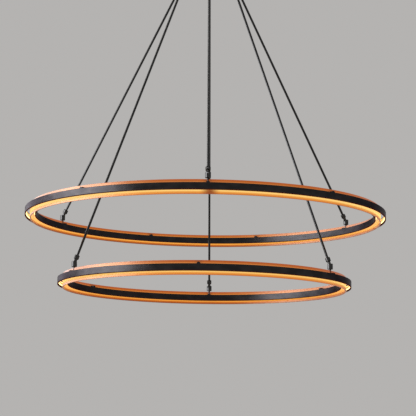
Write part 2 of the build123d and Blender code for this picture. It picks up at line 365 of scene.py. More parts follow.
def piece_of(data: bpy.types.ID, name: str) -> Thing:
    """Links a new object at the origin.

    Args:
        data: Its mesh or curve.
        name: Its name.

    Returns:
        The object.
    """
    thing = bpy.data.objects.new(name, data)
    bpy.context.scene.collection.objects.link(thing)
    return thing


def report(piece: Thing) -> None:
    """Logs a finished piece."""
    LOG.info("%s: %d faces", piece.name, len(piece.data.polygons))


def vertices(node: str) -> list[Vector]:
    """A carried-over node's vertices, in the frame."""
    return [vertex.co for vertex in frame["nodes"][node].data.vertices]


def dress(node: str, material: Material) -> None:
    """Gives a carried-over node its finish.

    Args:
        node: The node's name.
        material: Its finish.
    """
    slots = frame["nodes"][node].data.materials
    slots.clear()
    slots.append(material)
    LOG.info("%s: %s", node, material.name)


def joint_place(name: str) -> Vector:
    """A joint's point at rest, in metres."""
    return Vector(next(joint["pos_m"] for joint in frame["joints"] if joint["name"] == name))


def swivel_place(tier: str, hanger: str) -> Vector:
    """The ball at the ring's end of a cable."""
    return joint_place(f"{tier}_{hanger}_swivel")


def off_line(offsets: list[Vector], along: Vector) -> float:
    """How far the farthest of some offsets leads away from a line."""
    return max((offset - along * offset.dot(along)).length for offset in offsets)


@dataclass(frozen=True)
class Tier:
    """One ring: its sizes, read from the frame, and how the light of its strips is painted on its
    fin.
    """

    name: str
    hangers: tuple[str, ...]
    spacers: int
    glow_tint: Colour
    joint_loss: float
    joint_shift: float = 0.0

    def span(self, part: str) -> Span:
        """The foot and the top of one of the ring's nodes."""
        low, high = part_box(f"{self.name}_{part}")
        return low.z, high.z

    @property
    def middle(self) -> float:
        """Height of the ring's middle."""
        return sum(self.span("outer_band")) / 2

    @property
    def band_half(self) -> float:
        """Half of a band's height."""
        low, high = self.span("outer_band")
        return (high - low) / 2

    @property
    def band_reach(self) -> float:
        """How far the outer band's near face stands from the fin's middle."""
        inside = min(point.xy.length for point in vertices(f"{self.name}_outer_band"))
        return inside - self.fin_radius

    @property
    def fin_span(self) -> Span:
        """The fin's foot and top, from the ring's middle."""
        low, high = self.span("fin")
        return low - self.middle, high - self.middle

    @property
    def strip_middle(self) -> float:
        """Height of the light strips' middle."""
        return sum(self.span("outer_light_strip")) / 2

    @property
    def first_azimuth(self) -> float:
        """Azimuth of the first hanger, in radians."""
        x, y, _ = swivel_place(self.name, self.hangers[0])
        return math.atan2(y, x)

    @property
    def fin_radius(self) -> float:
        """Radius of the fin's middle, where the hangers stand."""
        return swivel_place(self.name, self.hangers[0]).xy.length


UPPER = Tier("upper", ("front", "right", "left"), 9, (1.0, 1.0, 1.0), 0.92, 5 * MM)
LOWER = Tier("lower", ("rear", "left", "right"), 6, (0.97, 0.9, 0.8), 0.1)


@dataclass(frozen=True)
class Glow:
    """Painted light that a strip throws on one side of the fin, as emission from the fin's foot to
    its top.
    """

    foot: Colour
    low: Colour
    below: Colour
    under_band: Colour
    hidden: Colour
    over_band: Colour
    crest: Colour
    top: Colour


@dataclass(frozen=True)
class CopperFinish:
    """Satin copper with grain round the hoop, with the light strips' wash on both sides painted into
    it as emission.

    The glow's low level lies a share of the way from the band's lower edge to the fin's foot, and
    those from there up to the top are in halves of a band's height from its middle.
    """

    tier: Tier
    polish: Colour = (0.165, 0.078, 0.021)
    tarnish: Colour = (0.12, 0.052, 0.012)
    # Painted glow, dim and red, on the fin where a strip's two ends meet.
    painted_joint_glow: Colour = (0.19, 0.02, 0.001)
    outer: Glow = Glow(
        foot=(0.4, 0.08, 0.002),
        low=(0.61, 0.165, 0.011),
        below=(0.8, 0.33, 0.055),
        under_band=(0.94, 0.62, 0.18),
        hidden=(1.0, 0.62, 0.2),
        over_band=(0.68, 0.26, 0.06),
        crest=(0.41, 0.078, 0.001),
        top=(0.35, 0.057, 0.0),
    )
    inner: Glow = Glow(
        foot=(0.08, 0.008, 0.0),
        low=(0.24, 0.038, 0.0),
        below=(0.54, 0.12, 0.001),
        under_band=(0.86, 0.36, 0.045),
        hidden=(1.0, 0.55, 0.16),
        over_band=(0.7, 0.25, 0.04),
        crest=(0.43, 0.085, 0.001),
        top=(0.36, 0.06, 0.0),
    )
    low_share: float = 0.85
    levels: tuple[float, ...] = (-1.34, -1.08, 0.0, 1.15, 1.5)
    strip_blur: float = 2 * MM
    joint_reach: float = 28 * MM
    joint_share_above: float = 0.3
    spacer_shadow: Span = (3 * MM, 14 * MM)
    spacer_loss: float = 0.3
    face_blur: float = 0.4 * MM
    cloud_size: Triple = (14.0, 14.0, 40.0)
    streak_span: Span = (0.3, 0.75)
    streak_depth: float = 0.35
    satin: Span = (0.44, 0.56)
    coat_roughness: float = 0.36
    relief: float = 0.006 * MM

    def wash(self, tree: ShaderTree, glow: Glow) -> Socket:
        """One side's painted light by height on the fin.

        Args:
            tree: The material's tree.
            glow: The side's colours.

        Returns:
            The light's colour.
        """
        foot, top = self.tier.fin_span
        half = self.tier.band_half
        height = tree.maths("SUBTRACT", tree.place()[2], self.tier.middle + foot)
        low = foot * self.low_share - half * (1 - self.low_share)
        levels = (foot, low, *(half * level for level in self.levels), top)
        shares = [(level - foot) / (top - foot) for level in levels]
        tint = self.tier.glow_tint
        tinted = [tuple(map(operator.mul, colour, tint)) for colour in astuple(glow)]
        return tree.ramp(tree.maths("DIVIDE", height, top - foot), list(zip(shares, tinted)))

    def arc_from(self, tree: ShaderTree, count: int, shift: float = 0.0) -> Socket:
        """Distance along the hoop from the nearest of some evenly spaced places.

        Args:
            tree: The material's tree.
            count: How many there are round the hoop.
            shift: How far the first lies from the first hanger, along the hoop.

        Returns:
            The distance in metres.
        """
        first = self.tier.first_azimuth + shift / self.tier.fin_radius
        turn = tree.maths("SUBTRACT", tree.turn(), first)
        half_step = math.pi / count
        wrapped = tree.maths("WRAP", turn, half_step, -half_step)
        return tree.maths("MULTIPLY", tree.maths("ABSOLUTE", wrapped), self.tier.fin_radius)

    def above(self, tree: ShaderTree) -> Socket:
        """Whether the point lies above the strips, from 0 to 1."""
        height = tree.maths("SUBTRACT", tree.place()[2], self.tier.middle)
        return tree.remap(height, -self.strip_blur, self.strip_blur, *FULL)

    def starved(self, tree: ShaderTree) -> Socket:
        """How little light reaches the fin where a strip's two ends meet, less so above.

        Args:
            tree: The material's tree.

        Returns:
            A socket from 0 to 1.
        """
        away = self.arc_from(tree, 1, self.tier.joint_shift)
        joint = tree.remap(away, 0.0, self.joint_reach, self.tier.joint_loss, 0.0)
        share = tree.remap(self.above(tree), *FULL, 1.0, self.joint_share_above)
        return tree.maths("MULTIPLY", joint, share)

    def shade(self, tree: ShaderTree) -> Socket:
        """How much light gets past the spacers to the fin above them.

        Args:
            tree: The material's tree.

        Returns:
            A socket from 0 to 1.
        """
        away = self.arc_from(tree, self.tier.spacers)
        spacer = tree.remap(away, *self.spacer_shadow, self.spacer_loss, 0.0)
        return tree.maths("SUBTRACT", 1.0, tree.maths("MULTIPLY", spacer, self.above(tree)))

    def make(self) -> Material:
        """Builds the material.

        Returns:
            The material.
        """
        tree = ShaderTree(f"{self.tier.name}_copper")
        grain = tree.grain(Grain.ROUND_THE_HOOP)
        cloud = tree.noise(self.cloud_size, detail=4.0)
        tone = tree.mix(tree.remap(cloud, *CLOUD_SPAN, *FULL), self.polish, self.tarnish)
        streaks = tree.remap(grain, *self.streak_span, 0.0, self.streak_depth)
        middle = self.tier.fin_radius
        faces = (middle - self.face_blur, middle + self.face_blur)
        outside = tree.remap(tree.reach(), *faces, *FULL)
        wash = tree.mix(outside, self.wash(tree, self.inner), self.wash(tree, self.outer))
        return tree.surface(
            Base_Color=tree.mix(streaks, tone, self.tarnish),
            Metallic=1.0,
            Roughness=tree.remap(grain, *GRAIN_SPAN, *self.satin),
            Normal=tree.bump(grain, self.relief),
            Coat_Weight=1.0,
            Coat_Roughness=self.coat_roughness,
            # Painted light: the strips' glow as emission, dimmed under the spacers' painted shadows.
            Emission_Color=tree.mix(self.starved(tree), wash, self.painted_joint_glow),
            Emission_Strength=self.shade(tree),
        )


@dataclass(frozen=True)
class BronzeFinish:
    """Dark satin bronze, mottled and grained, matte and darkened with painted shade towards the fin
    and along one edge.

    Light from the strips is painted as a glow on the edge of a band.
    """

    name: str
    grain: Grain
    edge: float = 0.0
    edge_width: float = 2.4 * MM
    edge_glow: Colour = (0.0, 0.0, 0.0)
    fin_radius: float = 0.0
    # Faces within this reach of the fin are matte and darkened with painted shade.
    dull_within: float = 0.0
    ground: Colour = (0.028, 0.0265, 0.0275)
    mottle: Colour = (0.043, 0.039, 0.04)
    # Painted shade on the faces towards the fin and along the edge.
    painted_shade: Colour = (0.006, 0.004, 0.003)
    grazing_tint: Colour = (0.48, 0.46, 0.48)
    cloud_size: Triple = (30.0, 30.0, 60.0)
    breakup_size: Triple = (45.0, 45.0, 45.0)
    breakup_span: Span = (0.3, 0.6)
    breakup_range: Span = (0.6, 1.0)
    satin: Span = (0.26, 0.36)
    dull_roughness: float = 0.85
    dull_blur: float = 0.4 * MM
    relief: float = 0.005 * MM

    def near_edge(self, tree: ShaderTree) -> Socket:
        """How far the painted shade along the edge shows, with the strips' painted glow where there
        is one.

        Args:
            tree: The material's tree.

        Returns:
            A socket from 0 to 1.
        """
        away = tree.maths("ABSOLUTE", tree.maths("SUBTRACT", tree.place()[2], self.edge))
        broken_up = tree.remap(tree.noise(self.breakup_size, detail=5.0), *self.breakup_span, *self.breakup_range)
        near = tree.remap(away, self.edge_width / 2, self.edge_width, 1.0, 0.0)
        return tree.maths("MULTIPLY", near, broken_up)

    def facing_fin(self, tree: ShaderTree) -> Socket:
        """Whether the point lies on a face towards the fin, from 0 to 1."""
        away = tree.maths("ABSOLUTE", tree.maths("SUBTRACT", tree.reach(), self.fin_radius))
        return tree.remap(away, self.dull_within, self.dull_within + self.dull_blur, 1.0, 0.0)

    def make(self) -> Material:
        """Builds the material.

        Returns:
            The material.
        """
        tree = ShaderTree(self.name)
        grain = tree.grain(self.grain)
        cloud = tree.noise(self.cloud_size, detail=5.0)
        tone = tree.mix(tree.remap(cloud, *CLOUD_SPAN, *FULL), self.ground, self.mottle)
        satin = tree.remap(tree.maths("ADD", grain, cloud), *SUM_SPAN, *self.satin)
        rim = self.near_edge(tree)
        shade_and_matte = tree.maths("MAXIMUM", self.facing_fin(tree), rim)
        duller = tree.maths("SUBTRACT", self.dull_roughness, satin)
        # Painted glow of the strips on the edge, where the tier gives one.
        light = {"Emission_Color": self.edge_glow, "Emission_Strength": rim}
        return tree.surface(
            # Painted shade: the faces in the gap and along the edge take the shade colour.
            Base_Color=tree.mix(shade_and_matte, tone, self.painted_shade),
            Metallic=1.0,
            Specular_Tint=self.grazing_tint,
            Roughness=tree.maths("MULTIPLY_ADD", shade_and_matte, duller, satin),
            Normal=tree.bump(grain, self.relief),
            **(light if any(self.edge_glow) else {}),
        )


@dataclass(frozen=True)
class CoatFinish:
    """Coat of a small part: two tones in clouds, and fine marks in its gloss and relief.

    Its values are those of polished plate with turning marks.
    """

    name: str
    ground: Colour
    clouded: Colour
    gloss: Span = (0.12, 0.2)
    metallic: float = 1.0
    grazing_tint: Colour = (0.3, 0.3, 0.3)
    cloud_size: Triple = (210.0, 210.0, 210.0)
    cloud_detail: float = 4.0
    cloud_span: Span = (0.5, 0.8)
    cloud_depth: float = 0.7
    mark_size: Triple = Grain.TURNED.value
    mark_detail: float = 3.0
    mark_span: Span = GRAIN_SPAN
    relief: float = 0.003 * MM

    def clouds(self, tree: ShaderTree) -> Socket:
        """How much of the second tone there is, from 0 to 1."""
        cloud = tree.noise(self.cloud_size, self.cloud_detail)
        return tree.remap(cloud, *self.cloud_span, 0.0, self.cloud_depth)

    def make(self) -> Material:
        """Builds the material.

        Returns:
            The material.
        """
        tree = ShaderTree(self.name)
        marks = tree.noise(self.mark_size, self.mark_detail)
        return tree.surface(
            Base_Color=tree.mix(self.clouds(tree), self.ground, self.clouded),
            Metallic=self.metallic,
            Specular_Tint=self.grazing_tint,
            Roughness=tree.remap(marks, *self.mark_span, *self.gloss),
            Normal=tree.bump(marks, self.relief),
        )


@dataclass(frozen=True)
class ZincFinish(CoatFinish):
    """Bright zinc plate with a faint spangle."""

    gloss: Span = (0.28, 0.45)
    grazing_tint: Colour = (1.0, 1.0, 1.0)
    mark_size: Triple = Grain.CAST.value
    mark_span: Span = FROST_SPAN
    relief: float = 0.01 * MM
    spangle_size: float = 160.0
    spangle_depth: float = 1.4

    def clouds(self, tree: ShaderTree) -> Socket:
        """The spangle, darker away from the middle of each crystal."""
        return tree.maths("MULTIPLY", tree.cells(self.spangle_size), self.spangle_depth)


@dataclass(frozen=True)
class PlasticFinish(CoatFinish):
    """Moulded plastic with a fine spark-eroded skin."""

    metallic: float = 0.0
    grazing_tint: Colour = (1.0, 1.0, 1.0)
    cloud_size: Triple = (60.0, 60.0, 60.0)
    cloud_detail: float = 3.0
    cloud_span: Span = (0.3, 0.75)
    cloud_depth: float = 1.0
    mark_size: Triple = (1500.0, 1500.0, 1500.0)
    mark_detail: float = 2.0
    mark_span: Span = (0.2, 0.8)
    relief: float = 0.03 * MM


@dataclass(frozen=True)
class SheathFinish:
    """Satin black cable sheath with faint lines from its extrusion and a few duller patches."""

    name: str = "black_sheath"
    ground: Colour = (0.004, 0.004, 0.004)
    dusty: Colour = (0.01, 0.0097, 0.0095)
    line_size: Triple = (11.0, 11.0, 5.0)
    patch_size: Triple = (0.8, 0.8, 28.0)
    patch_span: Span = (0.4, 0.75)
    satin: Span = (0.2, 0.3)
    shine: float = 0.4
    relief: float = 0.008 * MM

    def make(self) -> Material:
        """Builds the material.

        Returns:
            The material.
        """
        tree = ShaderTree(self.name)
        around, along, _ = tree.place(Mapping.OWN_UV)
        angle = tree.maths("MULTIPLY", around, math.tau)
        skin = (tree.maths("COSINE", angle), tree.maths("SINE", angle), along)
        lines = tree.noise(self.line_size, at=skin)
        patches = tree.noise(self.patch_size, detail=4.0, at=skin)
        dust = tree.remap(patches, *self.patch_span, *FULL)
        return tree.surface(
            Base_Color=tree.mix(dust, self.ground, self.dusty),
            Metallic=0.0,
            Specular_IOR_Level=self.shine,
            Roughness=tree.remap(tree.maths("ADD", lines, patches), *SUM_SPAN, *self.satin),
            Normal=tree.bump(lines, self.relief),
        )


@dataclass(frozen=True)
class StripFinish:
    """A frosted diffuser over two rows of lamps: brighter over each lamp, dim along the seam."""

    tier: Tier
    silicone: Colour = (0.7, 0.6, 0.44)
    glow: Colour = (1.0, 0.72, 0.32)
    seam_glow: Colour = (1.0, 0.27, 0.012)
    seam: Span = (1.7 * MM, 3.4 * MM)
    seam_share: float = 0.3
    pitch: float = 8.3 * MM
    strength: float = 2.4
    share_between_lamps: float = 0.75
    frost: Span = (0.45, 0.6)
    relief: float = 0.02 * MM

    def make(self) -> Material:
        """Builds the material.

        Returns:
            The material.
        """
        tree = ShaderTree(f"{self.tier.name}_strip")
        lamps = round(math.tau * self.tier.fin_radius / self.pitch)
        phase = tree.maths("MULTIPLY", tree.turn(), float(lamps))
        ripple = tree.maths("MULTIPLY_ADD", tree.maths("COSINE", phase), 0.5, 0.5)
        dimmest = self.share_between_lamps * self.strength
        lit = tree.remap(ripple, *FULL, dimmest, self.strength)
        height = tree.maths("SUBTRACT", tree.place()[2], self.tier.strip_middle)
        row = tree.remap(tree.maths("ABSOLUTE", height), *self.seam, *FULL)
        frost = tree.grain(Grain.CAST)
        by_row = tree.remap(row, *FULL, self.seam_share, 1.0)
        return tree.surface(
            Base_Color=self.silicone,
            Roughness=tree.remap(frost, *FROST_SPAN, *self.frost),
            Normal=tree.bump(frost, self.relief),
            Emission_Color=tree.mix(row, self.seam_glow, self.glow),
            Emission_Strength=tree.maths("MULTIPLY", lit, by_row),
        )


BLACK_PLATE = CoatFinish("black_plate", (0.055, 0.054, 0.053), (0.1, 0.097, 0.094))
SCREW_STEEL = CoatFinish("screw_steel", (0.3, 0.3, 0.31), (0.42, 0.415, 0.41))
ZINC_PLATE = ZincFinish("zinc_plate", (0.62, 0.62, 0.63), (0.42, 0.425, 0.44))
CAST_BRONZE = BronzeFinish("cast_bronze", Grain.CAST)
DRIVER_SHELL = PlasticFinish("driver_shell", (0.78, 0.78, 0.76), (0.7, 0.7, 0.68), (0.42, 0.58))
TERMINAL = PlasticFinish("terminal", (0.68, 0.67, 0.62), (0.6, 0.59, 0.55), (0.34, 0.5))
LEAD_SKIN = PlasticFinish("lead_skin", (0.03, 0.03, 0.03), (0.045, 0.045, 0.045), (0.27, 0.43))


@dataclass(frozen=True)
class Workshop:
    """What the builders share: their trees, and the finishes of cables and small metal parts."""

    hoops: GeometryTree
    screws: GeometryTree
    sleeves: GeometryTree
    sheath: Material
    plate: Material
    steel: Material
    zinc: Material
    bronze: Material


@dataclass(frozen=True)
class Softbox:
    """A rectangular lamp that faces the rings; a radiance of 1 shows as white."""

    name: str
    place: Triple
    size: Span
    radiance: float
    tint: Colour

    def hang(self) -> None:
        """Makes the lamp and turns it to the rings."""
        width, height = self.size
        lamp = bpy.data.lights.new(self.name, "AREA")
        lamp.shape = "RECTANGLE"
        lamp.size, lamp.size_y = width, height
        lamp.energy = self.radiance * math.pi * width * height
        lamp.color = self.tint
        rings = Vector((0, 0, (UPPER.middle + LOWER.middle) / 2))
        turn = (rings - Vector(self.place)).to_track_quat("-Z", "Y").to_matrix().to_4x4()
        box = piece_of(lamp, self.name)
        box.matrix_world = Matrix.Translation(self.place) @ turn
        box.visible_camera = False


@dataclass
class Studio:
    """The stage: a pale floor that fades into the backdrop, soft boxes and the camera."""

    backdrop: Colour = (0.46, 0.45, 0.44)
    floor_colour: Colour = (0.8, 0.79, 0.77)
    floor_height: float = -5.6
    floor_radius: float = 40.0
    floor_sides: int = 96
    fade: Span = (5.0, 12.0)
    image_pixels: float = 416.0
    focal_pixels: float = 1409.5
    sensor_width: float = 36.0
    farthest: float = 200.0
    distance: float = 3.8848
    eye_height: float = -1.4418
    pitch: float = 0.1616
    yaw: float = 0.0018
    roll: float = 0.0144
    softboxes: tuple[Softbox, ...] = (
        Softbox("key", (-2.3, -0.6, -0.5), (2.2, 1.0), 5.5, (0.93, 0.95, 1.0)),
        Softbox("wash", (-2.6, 0.6, -0.4), (5.2, 1.2), 2.6, (0.95, 0.96, 1.0)),
        Softbox("high", (-2.2, 0.4, 1.1), (1.0, 2.2), 5.0, (1.0, 0.99, 0.97)),
    )

    def build_camera(self) -> None:
        """Sets the camera at the photograph's viewing angle."""
        data = bpy.data.cameras.new("camera")
        data.sensor_width = self.sensor_width
        data.lens = self.focal_pixels / self.image_pixels * self.sensor_width
        data.clip_end = self.farthest
        camera = piece_of(data, "camera")
        eye = Matrix.Translation((0, -self.distance, self.eye_height))
        turns = ((-self.yaw, "Z"), (math.pi / 2 + self.pitch, "X"), (self.roll, "Z"))
        for angle, axis in turns:
            eye = eye @ Matrix.Rotation(angle, 4, axis)
        camera.matrix_world = eye
        bpy.context.scene.camera = camera

    def build_world(self) -> None:
        """Gives the world the backdrop's colour."""
        world = bpy.data.worlds.new("backdrop")
        bpy.context.scene.world = world
        world.use_nodes = True
        background = world.node_tree.nodes["Background"]
        background.inputs["Color"].default_value = (*self.backdrop, 1.0)

    def build_floor(self) -> None:
        """Lays a pale floor that fades into the backdrop far from the object."""
        mesh = bpy.data.meshes.new("floor")
        disc = bmesh.new()
        bmesh.ops.create_circle(
            disc, cap_ends=True, segments=self.floor_sides, radius=self.floor_radius
        )
        disc.to_mesh(mesh)
        disc.free()
        mesh.transform(Matrix.Translation((0, 0, self.floor_height)))
        floor = piece_of(mesh, "floor")
        tree = ShaderTree("pale_floor")
        far = tree.remap(tree.reach(), *self.fade, *FULL)
        near = tree.add("BsdfDiffuse", {"Color": self.floor_colour}).outputs[0]
        beyond = tree.add("Emission", {"Color": self.backdrop}).outputs[0]
        blend = tree.add("MixShader", {0: far, 1: near, 2: beyond})
        tree.links.new(blend.outputs[0], tree.output.inputs[0])
        mesh.materials.append(tree.material)

    def build(self) -> None:
        """Sets up the whole stage."""
        bpy.context.scene.view_settings.view_transform = "Standard"
        self.build_camera()
        self.build_world()
        self.build_floor()
        for softbox in self.softboxes:
            softbox.hang()


@dataclass
class Hoop:
    """A hoop of rounded rectangular section, swept round the ring's axis."""

    shop: Workshop
    node: str
    edge: float
    body: str
    slot: Slot
    segments: int = 540
    corner_points: int = 4
    rim: float = 0.35 * MM

    def section(self) -> list[Span]:
        """The section's outline, as distance from the ring's axis and height.

        Returns:
            Points in order round the outline, with one either side of each rounded corner.
        """
        low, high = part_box(self.node)
        inner = min(point.xy.length for point in vertices(self.node))
        steps = [90.0 * k / self.corner_points for k in range(self.corner_points + 1)]
        outline = []
        for start, across, up in ((0, 1, 1), (90, -1, 1), (180, -1, -1), (270, 1, -1)):
            corner = Vector((high.x if across > 0 else inner, high.z if up > 0 else low.z))
            middle = corner - Vector((across, up)) * self.edge
            turns = [math.radians(start + step) for step in steps]
            ways = [Vector((math.cos(turn), math.sin(turn))) for turn in turns]
            arc = [middle + way * self.edge for way in ways]
            before = arc[0] + Vector((ways[0].y, -ways[0].x)) * self.rim
            after = arc[-1] + Vector((-ways[-1].y, ways[-1].x)) * self.rim
            outline += [tuple(point) for point in (before, *arc, after)]
        return outline

    def build(self, material: Material) -> None:
        """Sweeps the section and hands the piece to its body.

        Args:
            material: The hoop's finish.
        """
        outline = self.section()
        radius = sum(x for x, _ in outline) / len(outline)
        curve = bpy.data.curves.new("section", "CURVE")
        curve.dimensions = "3D"
        spline = curve.splines.new("POLY")
        spline.points.add(len(outline) - 1)
        for point, (x, z) in zip(spline.points, reversed(outline)):
            point.co = (x - radius, -z, 0.0, 1.0)
        spline.use_cyclic_u = True
        profile = piece_of(curve, "section")
        carrier = piece_of(bpy.data.meshes.new("carrier"), "carrier")
        sizes = {"Radius": radius, "Segments": self.segments, "Section": profile}
        hoop = self.shop.hoops.bake(carrier, f"{self.node}_hoop", **sizes, Finish=material)
        bpy.data.objects.remove(profile)
        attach(hoop, self.body)
        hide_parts(self.node)
        report(hoop)


def hoop_tree() -> GeometryTree:
    """Builds the tree that sweeps a section round the ring's axis.

    Returns:
        The tree.
    """
    tree = GeometryTree("sweep_hoop")
    radius, segments, section, finish = tree.ask(
        Radius="Float", Segments="Int", Section="Object", Finish="Material"
    )
    path = tree.add("CurvePrimitiveCircle", {"Resolution": segments, "Radius": radius})
    upright = tree.add("SetCurveNormal", {"Curve": path.outputs[0]}, mode="Z_UP")
    outline = tree.add("ObjectInfo", {"Object": section}).outputs["Geometry"]
    swept = tree.add("CurveToMesh", {"Curve": upright.outputs[0], "Profile Curve": outline})
    smooth = tree.add("SetShadeSmooth", {"Geometry": swept.outputs[0]})
    tree.finish(smooth.outputs[0], finish)
    return tree


@dataclass
class SetScrews:
    """Socket screws that lock the barrels and ferrules of one body."""

    shop: Workshop
    body: str
    radius: float = 1.5 * MM
    proud: float = 0.2 * MM
    bevel: float = 0.3 * MM
    socket: float = 0.8 * MM
    depth: float = 0.7 * MM
    sides: int = 24

    def ring(self, radius: float, height: float, hexagon: bool = False) -> list[Vector]:
        """One ring of points round the screw's axis.

        Args:
            radius: The ring's radius, or half the width across a hexagon's flats.
            height: Its height along the axis.
            hexagon: Whether the ring follows a hexagon.

        Returns:
            The points, in order.
        """
        points = []
        for k in range(self.sides):
            angle = math.tau * k / self.sides
            off_flat = angle % (math.pi / 3) - math.pi / 6
            reach = radius / math.cos(off_flat) if hexagon else radius
            points.append(Vector((reach * math.cos(angle), reach * math.sin(angle), height)))
        return points

    def blank(self) -> Thing:
        """Makes one screw at the origin that points along +Z, with its hexagon socket.

        Returns:
            The screw.
        """
        rings = [
            self.ring(self.radius, -self.depth),
            self.ring(self.radius, self.proud - self.bevel),
            self.ring(self.radius - self.bevel, self.proud),
            self.ring(self.socket, self.proud, hexagon=True),
            self.ring(self.socket, self.proud - self.depth, hexagon=True),
        ]
        screw = bmesh.new()
        loops = [[screw.verts.new(point) for point in ring] for ring in rings]
        for below, above in zip(loops, loops[1:]):
            for k in range(self.sides):
                after = (k + 1) % self.sides
                screw.faces.new((below[k], below[after], above[after], above[k]))
        screw.faces.new(reversed(loops[0]))
        screw.faces.new(loops[-1])
        mesh = bpy.data.meshes.new("set_screw")
        screw.to_mesh(mesh)
        screw.free()
        return piece_of(mesh, "set_screw")

    def build(self, places: Places) -> None:
        """Sets the screws and hands them to their body.

        Args:
            places: A point on the surface and the way out of it, for each screw.
        """
        cloud = bpy.data.meshes.new("screw_places")
        cloud.from_pydata([point for point, _ in places], [], [])
        facing = cloud.attributes.new("outward", "FLOAT_VECTOR", "POINT")
        for item, (_, outward) in zip(facing.data, places):
            item.vector = outward
        carrier = piece_of(cloud, "screw_places")
        blank = self.blank()
        inputs = {"Screw": blank, "Finish": self.shop.steel}
        screws = self.shop.screws.bake(carrier, f"{self.body}_set_screws", **inputs)
        bpy.data.objects.remove(blank)
        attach(screws, self.body)
        report(screws)


def screw_tree() -> GeometryTree:
    """Builds the tree that puts a screw at each point, turned as the point's attribute says.

    Returns:
        The tree.
    """
    tree = GeometryTree("screws_at_points")
    screw, finish = tree.ask(Screw="Object", Finish="Material")
    points = tree.inputs.outputs["Geometry"]
    shape = tree.add("ObjectInfo", {"Object": screw}).outputs["Geometry"]
    turn = tree.nodes.new("FunctionNodeAlignRotationToVector")
    turn.axis = "Z"
    tree.put(tree.read("outward", "FLOAT_VECTOR"), turn.inputs["Vector"])
    placed = {"Points": points, "Instance": shape, "Rotation": turn.outputs[0]}
    tree.finish(tree.add("InstanceOnPoints", placed).outputs[0], finish)
    return tree


def barrel_screw(points: list[Vector], height: float, facing: Facing) -> tuple[Vector, Vector]:
    """Where a barrel's set screw sits: on the side towards the upright axis or away from it.

    Args:
        points: The barrel's vertices.
        height: Height of the screw.
        facing: The side of the barrel.

    Returns:
        The point and the way out of the barrel.
    """
    xs = [point.x for point in points]
    ys = [point.y for point in points]
    middle = Vector(((min(xs) + max(xs)) / 2, (min(ys) + max(ys)) / 2, height))
    outward = Vector((middle.x, middle.y, 0.0)).normalized() * facing.value
    return middle + outward * (max(xs) - min(xs)) / 2, outward


@dataclass
class RingTier:
    """One ring: its hoops, strips, blocks and hangers."""

    shop: Workshop
    tier: Tier
    band_edge: float = 0.6 * MM
    fin_edge: float = 0.45 * MM
    dull_edge: float = 0.2 * MM
    # Painted glow that the strips throw on the bands' lower edge.
    edge_glow: Colour = (0.06, 0.006, 0.002)
    screw_below_mouth: float = 3.6 * MM
    bronze_parts: tuple[str, ...] = ("spacers", "hanger_blocks", "hanger_studs")
    zinc_parts: tuple[str, ...] = ("rivets", "stud_pins")

    @property
    def body(self) -> str:
        """The ring's body."""
        return f"{self.tier.name}_tier"

    def build_hoops(self) -> None:
        """Builds the fin and its two bands."""
        name = self.tier.name
        copper = CopperFinish(self.tier).make()
        Hoop(self.shop, f"{name}_fin", self.fin_edge, self.body, Slot.FIN).build(copper)
        bronze = BronzeFinish(
            f"{name}_bronze",
            Grain.ROUND_THE_HOOP,
            edge=self.tier.middle - self.tier.band_half,
            edge_glow=self.edge_glow,
            fin_radius=self.tier.fin_radius,
            dull_within=self.tier.band_reach + self.dull_edge,
        ).make()
        for side in Side:
            band = f"{name}_{side.value}_band"
            Hoop(self.shop, band, self.band_edge, self.body, Slot.BAND).build(bronze)

    def dress_parts(self) -> None:
        """Dresses the strips, blocks and hangers."""
        name = self.tier.name
        strip = StripFinish(self.tier).make()
        for side in Side:
            dress(f"{name}_{side.value}_light_strip", strip)
        for part in self.bronze_parts:
            dress(f"{name}_{part}", self.shop.bronze)
        for part in self.zinc_parts:
            dress(f"{name}_{part}", self.shop.zinc)
        for hanger in self.tier.hangers:
            dress(f"{name}_{hanger}_barrel", self.shop.plate)

    def set_screws(self) -> None:
        """Sets a screw in each barrel."""
        places = []
        for hanger in self.tier.hangers:
            barrel = f"{self.tier.name}_{hanger}_barrel"
            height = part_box(barrel)[1].z - self.screw_below_mouth
            places.append(barrel_screw(vertices(barrel), height, Facing.AWAY_FROM_AXIS))
        SetScrews(self.shop, self.body).build(places)

    def build(self) -> None:
        """Builds the hoops, dresses the rest and sets the screws."""
        self.build_hoops()
        self.dress_parts()
        self.set_screws()


